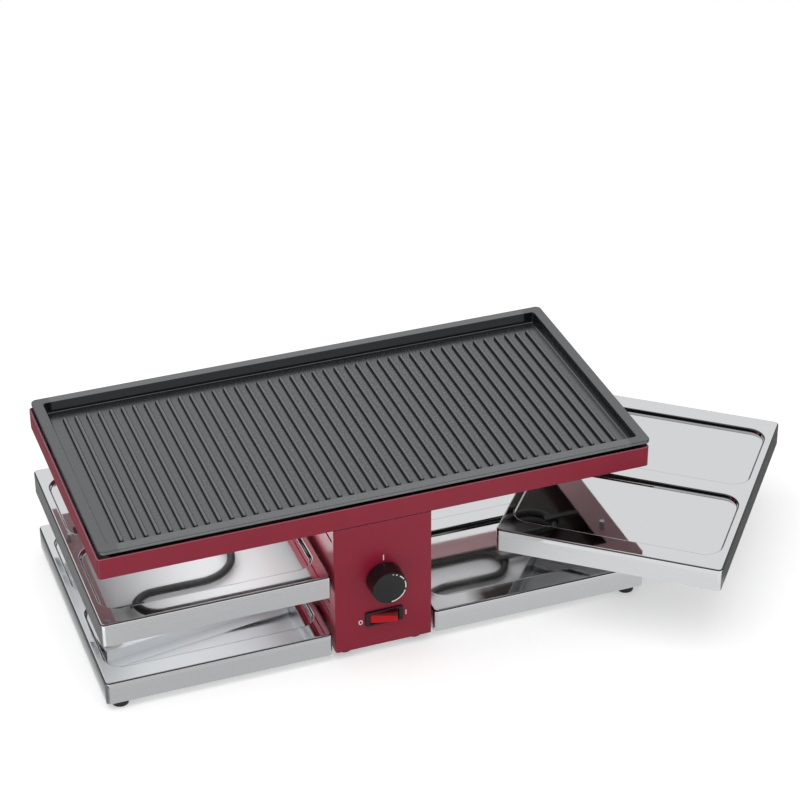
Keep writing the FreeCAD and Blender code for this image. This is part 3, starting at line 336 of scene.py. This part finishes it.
def red_paint(name, half_length=None, half_depth=None):
    """Powder coat with a faint cloud and a fine orange peel, and a painted highlight on edges
    that face up.

    With the frame's half length and half depth, what lies inside them or looks down gets painted
    shade.
    """
    graph = material_graph(name)
    place = graph.place()
    # Painted highlight: edges that face up are lighter
    painted_highlight = graph.rising(graph.facing("Z"), *HIGHLIGHT_FACING_UP)
    color = graph.tint(graph.noise(place, scale=35.0), RED_DARK, RED_LIGHT)
    color = graph.tint(painted_highlight, color, RED_PAINTED_HIGHLIGHT)
    if half_length:
        across = graph.math("SUBTRACT", graph.math("ABSOLUTE", graph.at("X")), half_length)
        along = graph.math("SUBTRACT", graph.math("ABSOLUTE", graph.at("Y")), half_depth)
        deep, shallow = INSIDE_DEPTHS
        inside = graph.falling(graph.either(across, along), -deep, -shallow)
        below = graph.falling(graph.facing("Z"), *BELOW_SHADE_FACING_UP)
        # Painted shade: the frame's inside is dark grey, and faces that look down are a greyer
        # red
        color = graph.tint(inside, color, INSIDE_PAINTED_SHADE)
        color = graph.tint(below, color, BELOW_PAINTED_SHADE)
    grain = graph.noise(place, scale=1400.0, detail=3.0)
    roughness = graph.spread(grain, 0.28, 0.38)
    shader = graph.principled(color, roughness, Specular_IOR_Level=0.3)
    graph.bump(shader, grain, strength=0.06, distance=0.0002)
    return graph.owner


def tray_steel(name, top):
    """Pressed tray: mirror-polished on top and in the recesses, satin on skirts and underneath.

    The rolled edges round the top and the recesses are painted dark, a painted reflection of the
    dark studio.
    """
    graph = material_graph(name)
    up = graph.facing("Z")
    deep, shallow = SKIRT_DEPTHS
    skirt = graph.falling(graph.at("Z"), top - deep, top - shallow)
    upright = graph.falling(graph.math("ABSOLUTE", up), *UPRIGHT_FACING_UP)
    under = graph.falling(up, *UNDER_FACING_UP)
    satin = graph.either(graph.both(skirt, upright), under)
    haze = graph.noise(graph.place(), scale=60.0, detail=4.0)
    roughness = graph.spread(haze, *POLISHED_ROUGHNESS)
    roughness = graph.math("ADD", roughness, graph.math("MULTIPLY", satin, SATIN_ADDS_ROUGHNESS))
    roughness = graph.math("ADD", roughness, graph.math("MULTIPLY", under, UNDER_ADDS_ROUGHNESS))
    lines = graph.noise(graph.place(BRUSHED_STRETCH), scale=2.0, detail=3.0)
    brushed = graph.both(satin, graph.spread(lines, 0.7, 1.0))
    color = graph.tint(brushed, STEEL, STEEL_BRUSHED)
    # Painted reflection: the rolled edges are painted dark
    rolled_from = graph.rising(up, *ROLLED_FACING_UP_FROM)
    rolled_to = graph.falling(up, *ROLLED_FACING_UP_TO)
    color = graph.tint(graph.both(rolled_from, rolled_to), color, ROLLED_EDGE_PAINTED_REFLECTION)
    graph.principled(color, roughness, metallic=1.0)
    return graph.owner


def zinc_steel():
    graph = material_graph("zinc_steel")
    spangle = graph.voronoi(graph.place(), scale=260.0)
    roughness = graph.remap(spangle, 0.0, 1.0, 0.30, 0.46)
    graph.principled(ZINC, roughness, metallic=1.0)
    return graph.owner


def plate_coating():
    """Glossy black non-stick coat with a fine grain, and a painted highlight on the ribs'
    crowns.

    The flat underside is bare metal, with a ragged patch of painted shade towards its right
    front. Rib flanks, back wall and underside mirror next to nothing.
    """
    graph = material_graph("cast_coating")
    place = graph.place()
    height = graph.at("Z")
    grain = graph.noise(place, scale=1600.0, detail=3.0, roughness=0.6)
    coat = graph.tint(graph.spread(grain, 0.0, 1.0), COAT_DARK, COAT_LIGHT)

    among_ribs = graph.falling(graph.math("ABSOLUTE", graph.at("X")), *RIBS_END_X)
    rib = graph.both(among_ribs, graph.rising(height, *PLATE_FLOOR_Z))
    # Painted highlight: the ribs' crowns are paler
    coat = graph.tint(graph.both(rib, graph.rising(height, *RIB_CROWN_Z)), coat, COAT_PAINTED_RIB_HIGHLIGHT)

    looks_down = graph.falling(graph.facing("Z"), *FLAT_FACING_UP)
    underside = graph.both(looks_down, graph.falling(height, *UNDERSIDE_TOP_Z))
    # Painted shade: a ragged dark patch on the bare underside towards its right front
    cloud = graph.math("SUBTRACT", graph.noise(place, scale=24.0, detail=3.0), 0.5)
    ragged = graph.math("MULTIPLY", cloud, SHADE_RAGGED)
    shade_x = graph.rising(graph.math("ADD", graph.at("X"), ragged), *SHADE_FROM_X)
    shade_y = graph.falling(graph.math("ADD", graph.at("Y"), ragged), *SHADE_TO_Y)
    bare = graph.tint(graph.both(shade_x, shade_y), BARE_METAL, UNDERSIDE_PAINTED_SHADE)

    steep = graph.rising(graph.math("ABSOLUTE", graph.facing("X")), *STEEP_FACING_SIDE)
    looks_front = graph.falling(graph.facing("Y"), *BACK_WALL_FACING_BACK)
    back_wall = graph.both(looks_front, graph.rising(graph.at("Y"), *BACK_WALL_Y))
    dull = graph.either(underside, graph.both(rib, steep))
    dull = graph.either(dull, graph.math("MULTIPLY", back_wall, BACK_WALL_DULL))
    specular = graph.remap(dull, 0.0, 1.0, FULL_SPECULAR, DULL_SPECULAR)

    graph.principled(
        graph.tint(underside, coat, bare), graph.spread(grain, 0.19, 0.29),
        IOR=COAT_IOR, Specular_Tint=COAT_TINT, Specular_IOR_Level=specular,
    )
    return graph.owner


def element_metal():
    graph = material_graph("element_sheath")
    mottle = graph.noise(graph.place(), scale=220.0, detail=4.0)
    color = graph.tint(mottle, ELEMENT_DARK, ELEMENT_LIGHT)
    graph.principled(color, roughness=0.55, Specular_IOR_Level=0.3)
    return graph.owner


def black_plastic():
    graph = material_graph("black_plastic")
    grain = graph.noise(graph.place(), scale=2200.0)
    roughness = graph.spread(grain, 0.24, 0.36)
    shader = graph.principled(BLACK_PLASTIC, roughness, Specular_IOR_Level=0.45)
    graph.bump(shader, grain, strength=0.10, distance=0.0001)
    return graph.owner


def red_plastic():
    """The rocker's plastic, with the shaded wedge over the end that is pressed in."""
    graph = material_graph("red_plastic")
    cloud = graph.noise(graph.place(), scale=300.0)
    lean = graph.math("MULTIPLY", graph.at("X"), ROCKER_SHADE_LEAN)
    above = graph.math("ADD", graph.math("SUBTRACT", graph.at("Z"), ROCKER_SHADE_Z), lean)
    shaded = graph.rising(above, -ROCKER_SHADE_BLUR, ROCKER_SHADE_BLUR)
    color = graph.tint(shaded, graph.tint(cloud, *ROCKER_BRIGHT), ROCKER_SHADED)
    graph.principled(color, graph.spread(cloud, 0.32, 0.42), Specular_IOR_Level=0.2)
    return graph.owner


def rubber():
    graph = material_graph("rubber_black")
    grain = graph.noise(graph.place(), scale=1500.0)
    shader = graph.principled(RUBBER, graph.spread(grain, 0.6, 0.8))
    graph.bump(shader, grain, strength=0.2, distance=0.0001)
    return graph.owner


def light_plastic(name, color):
    graph = material_graph(name)
    grain = graph.noise(graph.place(), scale=900.0)
    graph.principled(color, graph.spread(grain, 0.42, 0.58))
    return graph.owner


def brass():
    graph = material_graph("brass_metal")
    grain = graph.noise(graph.place(), scale=700.0)
    graph.principled(BRASS, graph.spread(grain, 0.26, 0.4), metallic=1.0)
    return graph.owner


def dress_cad_nodes():
    """Each CAD node gets its slot's material, or the one that the photograph shows on it."""
    by_slot = {
        "red_powder_coat": red_paint("red_powder_coat"),
        "zinc_steel": zinc_steel(),
        "cast_aluminium_coated": plate_coating(),
        "element_sheath": element_metal(),
        "black_plastic": black_plastic(),
        "red_plastic": red_plastic(),
        "slide_plastic": light_plastic("slide_plastic", SLIDE_PLASTIC),
        "rubber_black": rubber(),
        "ceramic_white": light_plastic("ceramic_white", CERAMIC),
        "brass_metal": brass(),
        "wire_sleeve": light_plastic("wire_sleeve", WIRE_SLEEVE),
    }
    lower_steel, upper_steel = [
        tray_steel("polished_steel_" + level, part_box("left_" + level + "_tray")[1][2])
        for level in ("lower", "upper")
    ]
    half_length, half_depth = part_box("top_frame")[1][:2]
    by_node = {
        "top_frame": red_paint("red_frame_coat", half_length, half_depth),
        "element_clips": by_slot["element_sheath"],
        "left_guide_rail": upper_steel,
        "right_guide_rail": upper_steel,
        "left_upper_tray": upper_steel,
        "right_upper_tray": upper_steel,
        "left_lower_tray": lower_steel,
        "right_lower_tray": lower_steel,
    }
    for part in frame["record"]["subparts"]:
        name = part["node"]
        materials = nodes[name].data.materials
        materials.clear()
        materials.append(by_node[name] if name in by_node else by_slot[part["material_slot"]])


def ring_part(middle, inner, outer, start, end):
    """Outline of a piece of an elliptical ring on the front, angles in degrees from +X."""
    points = []
    for radii, order in ((outer, range(ARC_STEPS + 1)), (inner, range(ARC_STEPS, -1, -1))):
        for step in order:
            angle = math.radians(start + (end - start) * step / ARC_STEPS)
            points.append((middle[0] + radii[0] * math.cos(angle),
                           middle[1] + radii[1] * math.sin(angle)))
    return points


def bar(middle, width, height):
    """Outline of an upright bar with half-round ends."""
    points = []
    radius = width / 2
    straight = height / 2 - radius
    for side, start in ((1, 0), (-1, 180)):
        for step in range(BAR_END_STEPS + 1):
            angle = math.radians(start + 180 * step / BAR_END_STEPS)
            points.append((middle[0] + radius * math.cos(angle),
                           middle[1] + side * straight + radius * math.sin(angle)))
    return points


def make_print(name, outlines, face_y, material, body):
    """Thin raised print on a face that looks to -Y, from outlines in millimetres."""
    mesh = bmesh.new()
    for outline in outlines:
        back, front = [
            [mesh.verts.new((x * MM, y, z * MM)) for x, z in outline]
            for y in (face_y, face_y - PRINT_THICKNESS)
        ]
        mesh.faces.new(front)
        mesh.faces.new(list(reversed(back)))
        count = len(outline)
        for index in range(count):
            following = (index + 1) % count
            mesh.faces.new((front[following], front[index], back[index], back[following]))
    many_sided = [face for face in mesh.faces if len(face.verts) > 4]
    bmesh.ops.triangulate(mesh, faces=many_sided)
    bmesh.ops.recalc_face_normals(mesh, faces=mesh.faces)
    data = bpy.data.meshes.new(name)
    mesh.to_mesh(data)
    mesh.free()
    data.materials.append(material)
    piece = link_object(name, data)
    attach(piece, body)


def make_marks():
    """White print: tick over the knob, 0 and I beside the switch, and the knob's scale."""
    white = light_plastic("white_print", PRINT_WHITE)
    zero = [
        ring_part(SWITCH_ZERO_MIDDLE, SWITCH_ZERO_INNER, SWITCH_ZERO_OUTER, start, start + 180)
        for start in (0, 180)
    ]
    panel_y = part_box("housing")[0][1]
    make_print("panel_marks", [bar(*TICK)] + zero + [bar(*SWITCH_ONE)], panel_y, white, "root")
    arcs = [
        ring_part(KNOB_MIDDLE, SCALE_INNER, SCALE_OUTER, start, end)
        for start, end in SCALE_ARCS_DEG
    ]
    make_print("knob_scale", arcs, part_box("knob")[0][1], white, "knob")


def make_sheet(name, verts, faces, material):
    """Flat faces of the studio."""
    mesh = bpy.data.meshes.new(name)
    mesh.from_pydata(verts, [], faces)
    mesh.materials.append(material)
    return link_object(name, mesh)


def level_corners(x_low, x_high, y_low, y_high, z):
    return [(x_low, y_low, z), (x_high, y_low, z), (x_high, y_high, z), (x_low, y_high, z)]


def make_floor():
    graph = material_graph("floor")
    diffuse = graph.add("ShaderNodeBsdfDiffuse")
    graph.feed(diffuse.inputs["Color"], (FLOOR_GREY, FLOOR_GREY, FLOOR_GREY))
    lift = graph.add("ShaderNodeEmission")
    seen = graph.seen_directly_or_mirrored()
    graph.link(graph.math("MULTIPLY", seen, FLOOR_LIFT), lift.inputs["Strength"])
    lit_and_lifted = graph.add("ShaderNodeAddShader")
    graph.link(diffuse.outputs[0], lit_and_lifted.inputs[0])
    graph.link(lift.outputs[0], lit_and_lifted.inputs[1])
    graph.show(lit_and_lifted)
    corners = level_corners(-FLOOR_HALF, FLOOR_HALF, -FLOOR_HALF, FLOOR_HALF, FLOOR_Z)
    floor = make_sheet("floor", corners, [(0, 1, 2, 3)], graph.owner)


def make_world():
    world = bpy.data.worlds.new("world")
    bpy.context.scene.world = world
    graph = Graph(world, "ShaderNodeOutputWorld")
    mix = graph.add("ShaderNodeMixShader")
    graph.link(graph.seen_directly_or_mirrored(), mix.inputs[0])
    for index, strength in ((1, WORLD_LIGHT), (2, WORLD_SHOWN)):
        sky = graph.add("ShaderNodeBackground")
        sky.inputs["Strength"].default_value = strength
        graph.link(sky.outputs[0], mix.inputs[index])
    graph.show(mix)


def make_lamp(name, place, size, watts, turn):
    data = bpy.data.lights.new(name, "AREA")
    data.shape = "RECTANGLE"
    data.size, data.size_y = size
    data.energy = watts
    lamp = link_object(name, data)
    lamp.location = place
    lamp.rotation_euler = turn
    lamp.visible_camera = False
    return lamp


def make_softbox():
    direction = Vector(SOFTBOX_AIM) - Vector(SOFTBOX_PLACE)
    turn = direction.to_track_quat("-Z", "Y").to_euler()
    softbox = make_lamp("softbox", SOFTBOX_PLACE, SOFTBOX_SIZE, SOFTBOX_WATTS, turn)
    softbox.visible_glossy = False


def make_fill_lamps():
    """They light the undersides that the polished tray tops mirror."""
    facing_up = (math.pi, 0, 0)
    for name, place, size, watts in FILL_LAMPS:
        make_lamp(name, place, size, watts, facing_up)


def make_card(name, verts, faces, brightness):
    """Studio card of plain brightness that only reflections see."""
    graph = material_graph(name)
    paper = graph.add("ShaderNodeEmission")
    graph.feed(paper.inputs["Color"], (brightness, brightness, brightness))
    graph.show(paper)
    card = make_sheet(name, verts, faces, graph.owner)
    card.visible_camera = False
    card.visible_diffuse = False
    card.visible_shadow = False
    card.visible_transmission = False


def make_cards():
    """A dark ring stands round the set below the sky, and grey cards lie on the table."""
    verts = []
    faces = []
    for step in range(RING_STEPS):
        angle = math.tau * step / RING_STEPS
        frontness = 0.5 - 0.5 * math.sin(angle)
        height = RING_BACK_HEIGHT + (RING_FRONT_HEIGHT - RING_BACK_HEIGHT) * frontness
        x, y = RING_RADIUS * math.cos(angle), RING_RADIUS * math.sin(angle)
        verts += [(x, y, 0.0), (x, y, height)]
        following = (step + 1) % RING_STEPS
        faces.append((2 * step, 2 * following, 2 * following + 1, 2 * step + 1))
    make_card("flag_ring", verts, faces, RING_GREY)
    for name, ranges, brightness in TABLE_CARDS:
        make_card(name, level_corners(*ranges, CARD_Z), [(0, 1, 2, 3)], brightness)


make_camera()
make_world()
make_softbox()
make_floor()
make_cards()
make_fill_lamps()
dress_cad_nodes()
make_marks()
bpy.context.scene.view_settings.view_transform = "Standard"
